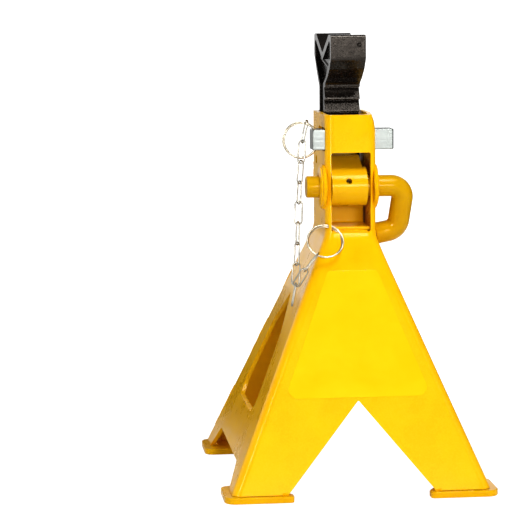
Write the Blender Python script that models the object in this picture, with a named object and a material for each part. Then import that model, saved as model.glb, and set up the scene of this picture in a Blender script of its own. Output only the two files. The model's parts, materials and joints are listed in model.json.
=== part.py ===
# Ratchet axle stand for a car: folded sheet base, toothed lifting bar with a saddle, pawl on a
# bent-rod handle, and a keeper pin held by a small chain.
# Metres in the scene, millimetres in the numbers below. +Z up, front faces -Y.
import bpy
import bmesh
import math
from mathutils import Matrix, Vector

for old in list(bpy.data.objects):
    bpy.data.objects.remove(old, do_unlink=True)

MM = 0.001

# ---------------------------------------------------------------- driving dimensions (mm)
SHEET = 2.5            # folded sheet thickness
GAP = 0.3              # air left between pieces that rest on each other
PAD_T = 4.0            # foot plate thickness
PAD_X = 42.0           # front foot plate size along X
PAD_REAR_X = 28.6      # same of the rear foot plates
PAD_Y = 36.0           # foot plate size along Y
PAD_OUT_X = 83.6       # outer edge of the foot plates from the centre, along X
PAD_OUT_Y = 91.6       # same along Y
PAD_CUT = 5.5          # corner cut of the foot plates

BASE_HALF_X = 79.2     # half width of the sheet base at the floor
BASE_HALF_Y = 88.6     # half depth of the sheet base at the floor
SHOULDER_Z = 156.0     # height where the sloping base turns into the upright column
COL_HALF_X = 15.4      # half width of the column
COL_FRONT = -41.3      # front face of the column
COL_BACK = 16.1        # rear edge of the column
COL_TOP = 229.6        # top of the column
BEND_R = 6.0           # outer bend radius of the two front folds

ARCH_TOP = 57.9        # top of the inverted V between two legs
ARCH_HALF = 46.5       # half width of that V at the floor
SIDE_CUT_TOP = 19.0    # top of the low cut-out under each side panel
SIDE_CUT_HALF = 53.0   # half depth of that cut-out at its top
SIDE_CUT_FOOT = 68.0   # half depth of that cut-out at the floor

WIN_HALF = 11.8        # half width of the front window
WIN_LOW = 157.7        # lower edge of the front window
WIN_HIGH = 206.4       # upper edge of the front window

AXIS_Y = -31.5         # pawl shaft axis
AXIS_Z = 185.0
ROD_R = 6.7            # bent rod radius
ROD_LEFT = -26.5       # left end of the rod
HANDLE_OUT = 35.8      # centre line of the outer upright of the handle
HANDLE_LOW = -27.7     # outer end of the lower arm, below the axis
HANDLE_LEAN = 14.0     # degrees the hanging handle leans to the back
HANDLE_DROP = 2.8      # the lower arm falls by this towards the column
HANDLE_END = 18.1      # where the lower arm stops beside the column
BOSS_R = 14.0          # welded boss discs on the column sides
BOSS_T = 1.6
DRUM_R = 12.0          # round part of the pawl
DRUM_X0 = -11.4
DRUM_X1 = 10.6
NOSE_X1 = 8.3          # right side of the pawl nose
TIP_Y = 25.84          # pawl tip, from the axis, a little below the tooth ledge it catches
TIP_Z = 18.45

BAR_HALF = 11.1        # half width of the lifting bar
BAR_BACK = 12.6        # rear face of the bar
BAR_YAW = 3.5          # degrees the loose bar sits turned in the column
BAR_SHIFT = -0.45      # and its sideways play
TOOTH_OUT = -6.5       # tooth crests
TOOTH_IN = -3.4        # tooth roots
TOOTH_PITCH = 7.75
TOOTH_TOP = 245.1      # highest tooth ledge, bar lowered
TOOTH_N = 24
BAR_LOW = 52.0         # lower end of the bar, bar lowered
SADDLE_TOP = 278.0
HORN_FRONT = -25.3     # outer face of the front horn
HORN_REAR = 29.6       # outer face of the rear horn
VALLEY_Z = 267.0

PIN_X0 = -22.8         # keeper pin ends
PIN_X1 = 27.7
PIN_Y0 = -36.5
PIN_Y1 = -21.5
PIN_Z0 = 207.9
PIN_Z1 = 220.5
PIN_HOLE_X = -18.9     # ring hole in the keeper pin

RING_WIRE = 0.8        # ring wire radius
RING_Z = 213.7         # height of the upper ring's centre
RING_R = 11.0          # ring centre-line radius
ANCHOR_TILT = 34.0     # the lower ring leans over the sloping front by this
ANCHOR_Y = -37.8       # where the lower ring passes through the column side
ANCHOR_Z = 161.4
ANCHOR_X = -16.2

LINK_WIRE = 0.575      # chain wire radius
LINK_GAP = 0.35        # air between two hooked links
LINK_PITCH = 12.6
LINK_BOW = 2.2         # centre-line radius of a link's round ends
CHAIN_BACK = 8.8       # degrees the chain runs forward as it drops


# ---------------------------------------------------------------- materials
def material(name, colour, rough, metal, coat=0.0):
    mat = bpy.data.materials.new(name)
    mat.use_nodes = True
    bsdf = mat.node_tree.nodes["Principled BSDF"]
    bsdf.inputs["Base Color"].default_value = (*colour, 1.0)
    bsdf.inputs["Roughness"].default_value = rough
    bsdf.inputs["Metallic"].default_value = metal
    bsdf.inputs["Coat Weight"].default_value = coat
    return mat


COLOURS = {
    "shell": ((0.93, 0.60, 0.004), 0.32, 0.0),
    "label": ((1.0, 0.74, 0.006), 0.22, 0.0),
    "cast": ((0.020, 0.017, 0.015), 0.38, 0.0),
    "zinc": ((0.62, 0.65, 0.60), 0.36, 1.0),
    "wire": ((0.60, 0.55, 0.47), 0.25, 1.0),
    "steel": ((0.30, 0.30, 0.29), 0.40, 1.0),
}


# ---------------------------------------------------------------- mesh helpers
def finish(name, bm, kind, origin=(0.0, 0.0, 0.0), smooth=False, angle=35.0):
    """Turn a bmesh in millimetres into an object in metres, with its origin at `origin`."""
    bmesh.ops.remove_doubles(bm, verts=bm.verts, dist=1e-5)
    bmesh.ops.recalc_face_normals(bm, faces=bm.faces)
    shift = Vector(origin)
    for v in bm.verts:
        v.co = (v.co - shift) * MM
    mesh = bpy.data.meshes.new(name)
    bm.to_mesh(mesh)
    bm.free()
    obj = bpy.data.objects.new(name, mesh)
    bpy.context.collection.objects.link(obj)
    obj.location = shift * MM
    if kind is not None:
        colour, rough, metal = COLOURS[kind]
        mesh.materials.append(material("mat_" + name, colour, rough, metal))
    if smooth:
        mesh.shade_smooth()
        mesh.set_sharp_from_angle(angle=math.radians(angle))
    return obj


def loft(rings):
    """Closed body through equal-length closed rings of points, capped at both ends."""
    bm = bmesh.new()
    rows = [[bm.verts.new(p) for p in ring] for ring in rings]
    n = len(rows[0])
    for a, b in zip(rows[:-1], rows[1:]):
        for i in range(n):
            j = (i + 1) % n
            bm.faces.new((a[i], a[j], b[j], b[i]))
    bm.faces.new(rows[0])
    bm.faces.new(list(reversed(rows[-1])))
    return bm


def prism_x(profile, x0, x1):
    """Extrude a (y, z) outline along X."""
    return loft([[(x0, y, z) for y, z in profile], [(x1, y, z) for y, z in profile]])


def prism_y(profile, y0, y1):
    """Extrude an (x, z) outline along Y."""
    return loft([[(x, y0, z) for x, z in profile], [(x, y1, z) for x, z in profile]])


def prism_z(profile, z0, z1):
    """Extrude an (x, y) outline along Z."""
    return loft([[(x, y, z0) for x, y in profile], [(x, y, z1) for x, y in profile]])


def circle(cx, cy, r, n):
    return [(cx + r * math.cos(2 * math.pi * i / n), cy + r * math.sin(2 * math.pi * i / n))
            for i in range(n)]


def rounded(points, radii, n=4):
    """Round the corners of an outline; one radius per corner, 0 keeps it sharp."""
    out = []
    count = len(points)
    for i in range(count):
        p = Vector(points[i])
        a = Vector(points[i - 1]) - p
        b = Vector(points[(i + 1) % count]) - p
        r = radii[i]
        if r <= 0:
            out.append((p.x, p.y))
            continue
        half = a.angle(b) / 2
        d = min(r / math.tan(half), 0.48 * a.length, 0.48 * b.length)
        r = d * math.tan(half)
        a.normalize()
        b.normalize()
        centre = p + (a + b).normalized() * (r / math.sin(half))
        v0 = p + a * d - centre
        v1 = p + b * d - centre
        turn = math.atan2(v0.x * v1.y - v0.y * v1.x, v0.dot(v1))
        for k in range(n + 1):
            t = turn * k / n
            c, s = math.cos(t), math.sin(t)
            out.append((centre.x + v0.x * c - v0.y * s, centre.y + v0.x * s + v0.y * c))
    return out


def box(x0, x1, y0, y1, z0, z1):
    return prism_z([(x0, y0), (x1, y0), (x1, y1), (x0, y1)], z0, z1)


def sweep(path, r, sides, closed, up=(0.0, 1.0, 0.0)):
    """Round wire along a path; `up` is any direction that is never along the path."""
    bm = bmesh.new()
    n = len(path)
    rows = []
    for i in range(n):
        p = Vector(path[i])
        if closed:
            t = Vector(path[(i + 1) % n]) - Vector(path[i - 1])
        else:
            t = Vector(path[min(i + 1, n - 1)]) - Vector(path[max(i - 1, 0)])
        t.normalize()
        side = t.cross(Vector(up)).normalized()
        other = side.cross(t).normalized()
        rows.append([bm.verts.new(p + (side * math.cos(a) + other * math.sin(a)) * r)
                     for a in [2 * math.pi * k / sides for k in range(sides)]])
    last = n if closed else n - 1
    for i in range(last):
        a = rows[i]
        b = rows[(i + 1) % n]
        for k in range(sides):
            m = (k + 1) % sides
            bm.faces.new((a[k], a[m], b[m], b[k]))
    if not closed:
        bm.faces.new(rows[0])
        bm.faces.new(list(reversed(rows[-1])))
    return bm


def apply_booleans(obj, cutters, operation="DIFFERENCE"):
    """Run exact booleans with throw-away tool bodies and keep only the result."""
    tools = []
    for k, bm in enumerate(cutters):
        tool = finish("tool_%d" % k, bm, None)
        tool.hide_render = True
        tool.display_type = "WIRE"
        mod = obj.modifiers.new("cut_%d" % k, "BOOLEAN")
        mod.operation = operation
        mod.solver = "EXACT"
        mod.object = tool
        tools.append(tool)
    bpy.context.view_layer.update()
    shape = obj.evaluated_get(bpy.context.evaluated_depsgraph_get())
    mesh = bpy.data.meshes.new_from_object(shape)
    mats = [m for m in obj.data.materials]
    obj.modifiers.clear()
    old = obj.data
    obj.data = mesh
    mesh.name = obj.name
    bpy.data.meshes.remove(old)
    mesh.materials.clear()
    for m in mats:
        mesh.materials.append(m)
    for poly in mesh.polygons:
        poly.material_index = 0
    for tool in tools:
        bpy.data.objects.remove(tool, do_unlink=True)
    bm = bmesh.new()
    bm.from_mesh(mesh)
    bmesh.ops.remove_doubles(bm, verts=bm.verts, dist=2e-7)
    bmesh.ops.dissolve_degenerate(bm, dist=1e-8, edges=bm.edges)
    bm.to_mesh(mesh)
    bm.free()
    return obj


def smooth(obj, angle=35.0):
    obj.data.shade_smooth()
    obj.data.set_sharp_from_angle(angle=math.radians(angle))


# ---------------------------------------------------------------- sheet base
PAD_TOP = PAD_T + GAP


def part_way(z):
    """1 at the floor, 0 from the shoulder up."""
    return max(0.0, (SHOULDER_Z - z) / (SHOULDER_Z - PAD_TOP))


def half_x(z):
    return COL_HALF_X + (BASE_HALF_X - COL_HALF_X) * part_way(z)


def front_y(z):
    return COL_FRONT - (BASE_HALF_Y + COL_FRONT) * part_way(z)


def back_y(z):
    return COL_BACK + (BASE_HALF_Y - COL_BACK) * part_way(z)


def wall(z):
    """Horizontal thickness of the sheet, a little more where it slopes."""
    return SHEET * (1.08 if z < SHOULDER_Z else 1.0)


def shell_ring(z):
    w = half_x(z)
    f = front_y(z)
    b = back_y(z)
    t = wall(z)
    arc = [math.radians(a) for a in (0, 18, 36, 54, 72, 90)]
    outer = [(-w, b)]
    outer += [(-w + BEND_R - BEND_R * math.cos(a), f + BEND_R - BEND_R * math.sin(a)) for a in arc]
    outer += [(w - BEND_R + BEND_R * math.sin(a), f + BEND_R - BEND_R * math.cos(a)) for a in arc]
    outer += [(w, b)]
    r = BEND_R - t
    inner = [(-w + t, b)]
    inner += [(-w + BEND_R - r * math.cos(a), f + BEND_R - r * math.sin(a)) for a in arc]
    inner += [(w - BEND_R + r * math.sin(a), f + BEND_R - r * math.cos(a)) for a in arc]
    inner += [(w - t, b)]
    ring = outer + list(reversed(inner))
    return [(x, y, z) for x, y in ring]


def mirror_profile(half):
    """(y, z) outline from its +y half, listed from the top centre down."""
    return half + [(-y, z) for y, z in reversed(half) if abs(y) > 1e-6]


levels = (PAD_TOP, SHOULDER_Z - 1e-3, SHOULDER_Z + 1.5, COL_TOP)
base_shell = finish("base_shell", loft([shell_ring(z) for z in levels]), "shell")

arch = [(0, ARCH_TOP), (ARCH_HALF + 0.5, 2.0), (-ARCH_HALF - 0.5, 2.0)]
front_arch = prism_y(rounded(arch, (2.0, 0, 0)), -120, -20)
slope = SIDE_CUT_FOOT + (SIDE_CUT_FOOT - SIDE_CUT_HALF) * 0.16
side_cut = [(-SIDE_CUT_HALF, SIDE_CUT_TOP), (SIDE_CUT_HALF, SIDE_CUT_TOP), (slope, 2.0), (-slope, 2.0)]
side_cut = rounded(side_cut, (4.0, 4.0, 0, 0))
hole = mirror_profile([(0, 116), (24, 93), (33, 68), (37, 53), (31, 45)])
hole = rounded(hole, (2.5, 5, 8, 5, 4, 4, 5, 8, 5), n=3)
window = rounded([(-WIN_HALF, WIN_LOW), (WIN_HALF, WIN_LOW), (WIN_HALF, WIN_HIGH), (-WIN_HALF, WIN_HIGH)],
                 (1.2, 1.2, 1.2, 1.2), n=2)
lip = [(COL_FRONT - 1.5, 152.6), (-38.7, 157.78), (COL_FRONT - 1.5, 158.6)]
left_slot = rounded([(-37.1, 207.3), (-7.0, 207.3), (-7.0, 221.6), (-37.1, 221.6)], (0.6, 5, 5, 0.6), n=3)
right_slot = rounded([(-37.1, 207.3), (-20.9, 207.3), (-20.9, 221.1), (-37.1, 221.1)], (0.6,) * 4, n=2)
tab_slot = rounded([(-0.2, 196.8), (6.2, 196.8), (6.2, 201.8), (-0.2, 201.8)], (1.2,) * 4, n=2)
apply_booleans(base_shell, [
    front_arch,
    prism_x(side_cut, -130, 130),
    prism_x(hole, -120, 120),
    prism_y(window, -60, COL_FRONT + BEND_R),
    prism_x(lip, -WIN_HALF, WIN_HALF),
    prism_x(circle(AXIS_Y, AXIS_Z, ROD_R + 0.4, 28), -40, 40),
    prism_x(left_slot, -30, 0),
    prism_x(right_slot, 0, 30),
    prism_x(tab_slot, -30, 0),
    prism_x(circle(ANCHOR_Y, ANCHOR_Z - 0.3, 2.0, 14), -25, -11.0),
])
smooth(base_shell, 30)


def rear_ring(z):
    x = half_x(z) - wall(z) - GAP
    b = back_y(z)
    t = SHEET * (1.1 if z < SHOULDER_Z else 1.0)
    return [(-x, b - t, z), (x, b - t, z), (x, b, z), (-x, b, z)]


rear_panel = finish("rear_panel", loft([rear_ring(z) for z in levels]), "shell")
apply_booleans(rear_panel, [prism_y(rounded(arch, (2.0, 0, 0)), 5, 120)])

guide = [(-10.0, 176.0), (-8.0, 176.0), (-8.0, 158.4), (-35.2, 158.4), (-35.2, 160.4), (-10.0, 160.4)]
guide_half = COL_HALF_X - SHEET - GAP
finish("bar_guide", prism_x(guide, -guide_half, guide_half), "shell")


# ---------------------------------------------------------------- foot plates
def foot(name, sx, sy):
    x0 = (PAD_OUT_X - (PAD_X if sy < 0 else PAD_REAR_X)) * sx
    trim = (15.0 if sy < 0 else 8.0) * sx
    x1 = PAD_OUT_X * sx
    y0 = (PAD_OUT_Y - PAD_Y) * sy
    y1 = PAD_OUT_Y * sy
    plan = [(x0 + trim, y0), (x1, y0), (x1, y1), (x0, y1), (x0, y1 - 7.0 * sy)]
    plan = rounded(plan, (2.0, PAD_CUT, PAD_CUT + 1.5, 2.5, 1.5), n=3)
    finish(name, prism_z(plan, 0.0, PAD_T), "shell")


foot("foot_front_left", -1, -1)
foot("foot_front_right", 1, -1)
foot("foot_rear_left", -1, 1)
foot("foot_rear_right", 1, 1)


# ---------------------------------------------------------------- bosses
def boss(name, sx):
    x0 = sx * (COL_HALF_X + 0.15)
    x1 = sx * (COL_HALF_X + 0.15 + BOSS_T)
    bm = bmesh.new()
    n = 32
    rings = []
    for x, r in ((x0, ROD_R + 0.4), (x0, BOSS_R), (x1, BOSS_R), (x1, ROD_R + 0.4)):
        rings.append([bm.verts.new((x, y, z)) for y, z in circle(AXIS_Y, AXIS_Z, r, n)])
    for k in range(4):
        a = rings[k]
        b = rings[(k + 1) % 4]
        for i in range(n):
            j = (i + 1) % n
            bm.faces.new((a[i], a[j], b[j], b[i]))
    return finish(name, bm, "shell", smooth=True)


boss("boss_left", -1)
boss("boss_right", 1)


# ---------------------------------------------------------------- lifting bar with saddle
def bar_profile():
    """(y, z) side view: V saddle on two horns, toothed front edge, plain rear edge."""
    lip = 1.2
    middle = (HORN_FRONT + HORN_REAR) / 2
    pts = [(BAR_BACK, BAR_LOW), (BAR_BACK, 245.2), (15.5, 248.0), (21.2, 254.0), (25.6, 260.0)]
    pts += [(HORN_REAR, 264.5), (HORN_REAR - 0.8, SADDLE_TOP - lip), (HORN_REAR - 0.8 - lip, SADDLE_TOP)]
    pts += [(22.2, SADDLE_TOP), (21.2, SADDLE_TOP - 2.2)]
    pts += [(middle + 2.2, VALLEY_Z + 0.4), (middle, VALLEY_Z), (middle - 2.2, VALLEY_Z + 0.4)]
    pts += [(-17.2, SADDLE_TOP - 2.2), (-18.2, SADDLE_TOP)]
    pts += [(HORN_FRONT + lip, SADDLE_TOP), (HORN_FRONT, SADDLE_TOP - lip)]
    pts += [(HORN_FRONT, 263.0), (-23.4, 260.2), (-20.4, 256.5), (-16.1, 252.7), (-11.6, 250.4)]
    pts += [(-8.0, 248.2), (TOOTH_OUT, 246.6)]
    for k in range(TOOTH_N):
        z = TOOTH_TOP - k * TOOTH_PITCH
        pts.append((TOOTH_OUT, z))
        pts.append((TOOTH_IN, z))
    pts.append((TOOTH_IN - 0.9, BAR_LOW))
    return pts


def turned(bm):
    """Turn a body of the loose bar about the bar's own middle, and shift it by its sideways play."""
    middle = Vector((0.0, (TOOTH_OUT + BAR_BACK) / 2, 0.0))
    spin = Matrix.Rotation(math.radians(BAR_YAW), 3, "Z")
    for v in bm.verts:
        v.co = spin @ (v.co - middle) + middle + Vector((BAR_SHIFT, 0.0, 0.0))
    return bm


ratchet_bar = finish("ratchet_bar", turned(prism_x(bar_profile(), -BAR_HALF, BAR_HALF)), "cast")
pocket = [(0.2, BAR_LOW + 8), (BAR_BACK - 1.8, BAR_LOW + 8), (BAR_BACK - 1.8, 243.0), (0.2, 243.0)]
pocket = rounded(pocket, (2, 2, 2, 2), n=2)
saddle_pocket = [(-20.5, 261.4), (-8.0, 250.8), (0.5, 247.6), (11.0, 247.4), (24.5, 262.6), (2.2, 261.0)]
saddle_pocket = rounded(saddle_pocket, (1.5, 3, 1, 2, 1.5, 6), n=2)
STOP_Z = BAR_LOW + 14.0
STOP_Y = 4.7
apply_booleans(ratchet_bar, [
    turned(prism_x(pocket, 3.6, 20)),
    turned(prism_x(pocket, -20, -3.6)),
    turned(prism_x(saddle_pocket, BAR_HALF - 2.4, 20)),
    turned(prism_x(saddle_pocket, -20, -BAR_HALF + 2.4)),
    turned(prism_x(circle(STOP_Y, STOP_Z, 2.8, 16), -20, 20)),
])
smooth(ratchet_bar, 32)
finish("bar_stop_pin", turned(prism_x(circle(STOP_Y, STOP_Z, 2.5, 16), -11.9, 11.9)), "steel", smooth=True)


# ---------------------------------------------------------------- pawl, shaft with handle, roll pin
def nose_profile():
    start = math.radians(112)
    pts = [(AXIS_Y + DRUM_R * math.cos(start), AXIS_Z + DRUM_R * math.sin(start) - 0.02)]
    pts += [(AXIS_Y + 11.3, AXIS_Z + 18.3)]
    pts += [(AXIS_Y + TIP_Y, AXIS_Z + TIP_Z), (AXIS_Y + 25.0, AXIS_Z + 16.5), (AXIS_Y + 23.9, AXIS_Z + 13.4)]
    pts += [(AXIS_Y + 20.0, AXIS_Z + 8.0), (AXIS_Y + 11.0, AXIS_Z - 1.5), (AXIS_Y + 2.0, AXIS_Z - 5.0)]
    pts += [(AXIS_Y - 4.0, AXIS_Z + 3.0)]
    return pts


pawl = finish("pawl", prism_x(circle(AXIS_Y, AXIS_Z, DRUM_R, 40), DRUM_X0, DRUM_X1), "shell",
              origin=(0, AXIS_Y, AXIS_Z))
apply_booleans(pawl, [prism_x(nose_profile(), DRUM_X0 + 0.01, NOSE_X1)], "UNION")


def radial_pin(r, a0, a1, n):
    """Short cylinder through the pawl drum, square to its axis and 20 degrees up at the front."""
    tilt = math.radians(20)
    d = Vector((0, -math.cos(tilt), math.sin(tilt)))
    u = Vector((1, 0, 0))
    v = d.cross(u)
    c = Vector((-1.0, AXIS_Y, AXIS_Z))
    rings = []
    for a in (a0, a1):
        rings.append([tuple(c + d * a + u * x + v * y) for x, y in circle(0, 0, r, n)])
    return loft(rings)


apply_booleans(pawl, [
    prism_x(circle(AXIS_Y, AXIS_Z, ROD_R + 0.3, 32), DRUM_X0 - 1, DRUM_X1 + 1),
    radial_pin(1.95, -9.5, 14, 14),
])
smooth(pawl, 30)


def handle_path():
    lean = math.radians(HANDLE_LEAN)
    down = Vector((0, math.sin(lean), -math.cos(lean)))
    origin = Vector((0, AXIS_Y, AXIS_Z))
    low = -HANDLE_LOW / math.cos(lean)
    corners = [(ROD_LEFT, 0.0), (HANDLE_OUT, 0.0), (HANDLE_OUT - 3.2, low), (HANDLE_END, low + HANDLE_DROP)]
    flat = []
    for i, (x, s) in enumerate(corners):
        if i in (0, len(corners) - 1):
            flat.append((x, s))
            continue
        p = Vector((x, s))
        a = Vector(corners[i - 1]) - p
        b = Vector(corners[i + 1]) - p
        half = a.angle(b) / 2
        r = 7.6 if i == 1 else 8.4
        d = r / math.tan(half)
        a.normalize()
        b.normalize()
        c = p + (a + b).normalized() * (r / math.sin(half))
        v0 = p + a * d - c
        v1 = p + b * d - c
        turn = math.atan2(v0.x * v1.y - v0.y * v1.x, v0.dot(v1))
        for k in range(9):
            t = turn * k / 8
            flat.append((c.x + v0.x * math.cos(t) - v0.y * math.sin(t),
                         c.y + v0.x * math.sin(t) + v0.y * math.cos(t)))
    return [tuple(origin + Vector((x, 0, 0)) + down * s) for x, s in flat]


lean_up = (0.0, math.cos(math.radians(HANDLE_LEAN)), math.sin(math.radians(HANDLE_LEAN)))
handle_shaft = finish("handle_shaft", sweep(handle_path(), ROD_R, 28, False, up=lean_up), "shell",
                      origin=(0, AXIS_Y, AXIS_Z))
apply_booleans(handle_shaft, [radial_pin(1.95, -14, 14, 14)])
smooth(handle_shaft, 40)
finish("pawl_roll_pin", radial_pin(1.65, -9.0, 10.6, 14), "steel", origin=(0, AXIS_Y, AXIS_Z), smooth=True)


# ---------------------------------------------------------------- keeper pin and rings
pin_plan = rounded([(PIN_X0, PIN_Y0), (PIN_X1, PIN_Y0), (PIN_X1, PIN_Y1), (PIN_X0, PIN_Y1)],
                   (1.0, 1.0, 1.0, 1.0), n=2)
lock_pin = finish("lock_pin", prism_z(pin_plan, PIN_Z0, PIN_Z1), "zinc", origin=(0, -28, RING_Z))
apply_booleans(lock_pin, [prism_z(circle(PIN_HOLE_X, -28.0, 2.7, 20), 200, 225)])

RING_C = Vector((PIN_HOLE_X + 0.9 - RING_R, -28.0, RING_Z))
ring_path = [(RING_C.x + x, RING_C.y, RING_C.z + z) for x, z in circle(0, 0, RING_R, 40)]
finish("pin_ring", sweep(ring_path, RING_WIRE, 8, True), "wire", origin=RING_C, smooth=True)

tilt = math.radians(ANCHOR_TILT)
ANCHOR_DOWN = Vector((0, -math.sin(tilt), -math.cos(tilt)))
ANCHOR_C = Vector((ANCHOR_X, ANCHOR_Y, ANCHOR_Z)) + ANCHOR_DOWN * RING_R
ANCHOR_N = ANCHOR_DOWN.cross(Vector((1, 0, 0))).normalized()


def anchor_point(angle):
    """Point on the lower ring's centre line; 0 is +X, 270 is its lowest point."""
    a = math.radians(angle)
    return ANCHOR_C + Vector((1, 0, 0)) * RING_R * math.cos(a) - ANCHOR_DOWN * RING_R * math.sin(a)


finish("anchor_ring", sweep([anchor_point(9 * k) for k in range(40)], RING_WIRE, 8, True, up=ANCHOR_N),
       "wire", origin=ANCHOR_C, smooth=True)

# ---------------------------------------------------------------- chain
HOOK = LINK_WIRE + LINK_GAP / 2                 # from a joint to either wire centre
RING_HOOK = LINK_WIRE + RING_WIRE + LINK_GAP    # from a ring's wire centre to a link's bow
LINK_LEN = LINK_PITCH + 2 * HOOK                # centre-line length of a link


def link(name, top, low, twist, origin=None, face=(0, -1, 0)):
    """Oval wire link whose centre line runs from `top` to `low`; at twist 0 its opening faces `face`."""
    top = Vector(top)
    low = Vector(low)
    mid = (top + low) / 2
    d = (top - low).normalized()
    side = Vector(face).cross(d).normalized()
    side = Matrix.Rotation(math.radians(twist), 3, d) @ side
    s = LINK_LEN / 2 - LINK_BOW
    path = []
    for k in range(7):
        a = math.pi * k / 6
        path.append(mid + d * (s + LINK_BOW * math.sin(a)) + side * LINK_BOW * math.cos(a))
    for k in range(7):
        a = math.pi * k / 6
        path.append(mid - d * (s + LINK_BOW * math.sin(a)) - side * LINK_BOW * math.cos(a))
    return finish(name, sweep(path, LINK_WIRE, 6, True, up=side.cross(d)), "wire",
                  origin=origin if origin is not None else mid, smooth=True, angle=60)


def drop(lean):
    """Unit direction of a hanging link that leans outward to -X by `lean` degrees."""
    a = math.radians(lean)
    f = math.radians(CHAIN_BACK)
    return Vector((-math.sin(a), -math.sin(f), -math.cos(a))).normalized()


ring_spot = math.radians(71)
start = RING_C + Vector((math.cos(ring_spot), 0, math.sin(ring_spot))) * RING_R
joints = []
lows = []
d = drop(14)
joints.append(start + d * (LINK_LEN - RING_HOOK - HOOK))
lows.append((start - d * RING_HOOK, joints[0] + d * HOOK))
for k in range(1, 8):
    d = drop(5.5 if k < 3 else 3.6)
    joints.append(joints[-1] + d * LINK_PITCH)
    lows.append((joints[-2] - d * HOOK, joints[-1] + d * HOOK))
twists = [62] + [150 + 70 * min(k, 3) + 60 * max(0, k - 3) for k in range(7)]
corner = joints[-1]                              # where the chain turns back up
for k in range(8):
    top, low = lows[k]
    off = Vector((0, 0.85, 0)) if k == 7 else Vector((0, 0, 0))
    link("chain_link_%02d" % (k + 1), top + off * 0.5, low + off, twists[k], origin=joints[k])

end_spot = anchor_point(238)
span = end_spot - (corner + Vector((0, -0.85, -0.25)))
la = LINK_PITCH
lb = LINK_LEN - RING_HOOK - HOOK
c0 = corner + Vector((0, -0.85, -0.25))
reach = min(span.length, la + lb - 0.02)
along = (la * la - lb * lb + reach * reach) / (2 * reach)
sag = math.sqrt(max(0.0, la * la - along * along))
u = span.normalized()
hang = Vector((-0.6, -0.3, -0.6))
down = (hang - u * hang.dot(u)).normalized()
elbow = c0 + u * along + down * sag
d10 = (elbow - c0).normalized()
d11 = (end_spot - elbow).normalized()
swing = Vector((-math.sin(math.radians(10)), 0, -math.cos(math.radians(10))))
link("chain_link_09", corner - swing * HOOK, corner - swing * HOOK + swing * LINK_LEN, 90, origin=corner)
link("chain_link_10", elbow + d10 * HOOK, c0 - d10 * HOOK, 0, origin=elbow)
wire_dir = anchor_point(239) - anchor_point(237)
link("chain_link_11", elbow - d11 * HOOK + d11 * LINK_LEN, elbow - d11 * HOOK, 0, origin=end_spot,
     face=wire_dir)

# ---------------------------------------------------------------- blank front label
def label_ring(off):
    pts = [(15.2, 134.6), (43.2, 64.5), (39.5, 59.6), (-39.5, 59.6), (-43.2, 64.5), (-15.2, 134.6)]
    plan = rounded(pts, (2.5, 4, 4, 4, 4, 2.5), n=3)
    slope_y = (BASE_HALF_Y + COL_FRONT) / (SHOULDER_Z - PAD_TOP)
    normal = Vector((0, -1, slope_y)).normalized()
    return [tuple(Vector((x, front_y(z), z)) + normal * off) for x, z in plan]


finish("front_label", loft([label_ring(0.06), label_ring(0.26)]), "label")
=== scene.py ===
"""Looks of the ratchet axle stand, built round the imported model.

Every visible piece is rebuilt here with rolled edges, fillets, weld beads and procedural materials, and
rides on its body. Shapes are written in millimetres; +Z is up and the front faces -Y.
"""
import bpy
import bmesh
import json
import math
import numpy as np
from mathutils import Matrix, Vector, noise


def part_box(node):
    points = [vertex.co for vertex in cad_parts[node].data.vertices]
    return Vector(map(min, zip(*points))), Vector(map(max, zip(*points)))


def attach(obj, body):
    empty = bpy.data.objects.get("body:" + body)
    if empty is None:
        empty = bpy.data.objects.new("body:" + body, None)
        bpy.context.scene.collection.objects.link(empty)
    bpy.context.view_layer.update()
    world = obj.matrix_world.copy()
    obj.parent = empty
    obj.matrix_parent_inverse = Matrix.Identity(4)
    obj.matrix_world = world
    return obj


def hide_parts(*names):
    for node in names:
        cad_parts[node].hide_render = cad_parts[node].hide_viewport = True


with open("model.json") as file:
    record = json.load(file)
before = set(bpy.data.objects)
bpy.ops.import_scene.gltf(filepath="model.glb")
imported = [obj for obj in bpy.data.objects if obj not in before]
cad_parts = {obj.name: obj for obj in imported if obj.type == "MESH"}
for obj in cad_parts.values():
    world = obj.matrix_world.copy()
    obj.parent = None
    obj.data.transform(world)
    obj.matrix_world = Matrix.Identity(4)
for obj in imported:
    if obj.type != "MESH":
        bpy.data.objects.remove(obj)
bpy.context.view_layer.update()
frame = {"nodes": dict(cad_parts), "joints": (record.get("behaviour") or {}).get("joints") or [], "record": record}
MM = 0.001


def low(node):
    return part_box(node)[0] / MM


def high(node):
    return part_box(node)[1] / MM


def centre(node):
    return (low(node) + high(node)) / 2


# ---------------------------------------------------------------- driving sizes, from the frame (mm)
BASE_HALF_X = high("base_shell").x          # half width of the base at its lower edge
BASE_HALF_Y = -low("base_shell").y          # half depth, same
COL_TOP = high("base_shell").z
BOSS_GAP = 0.15                             # between a wall of the column and its boss
COL_HALF_X = -high("boss_left").x - BOSS_GAP    # half width of the upright column
BOSS_T = high("boss_right").x - low("boss_right").x
BOSS_R = (high("boss_right").z - low("boss_right").z) / 2
AXIS_Y = centre("boss_right").y             # pawl shaft axis
AXIS_Z = centre("boss_right").z
PAD_T = high("foot_front_left").z
PAD_TOP = low("base_shell").z               # the sheet stands this high on the foot plates
SADDLE_TOP = high("ratchet_bar").z
BAR_LOW = low("ratchet_bar").z

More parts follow.
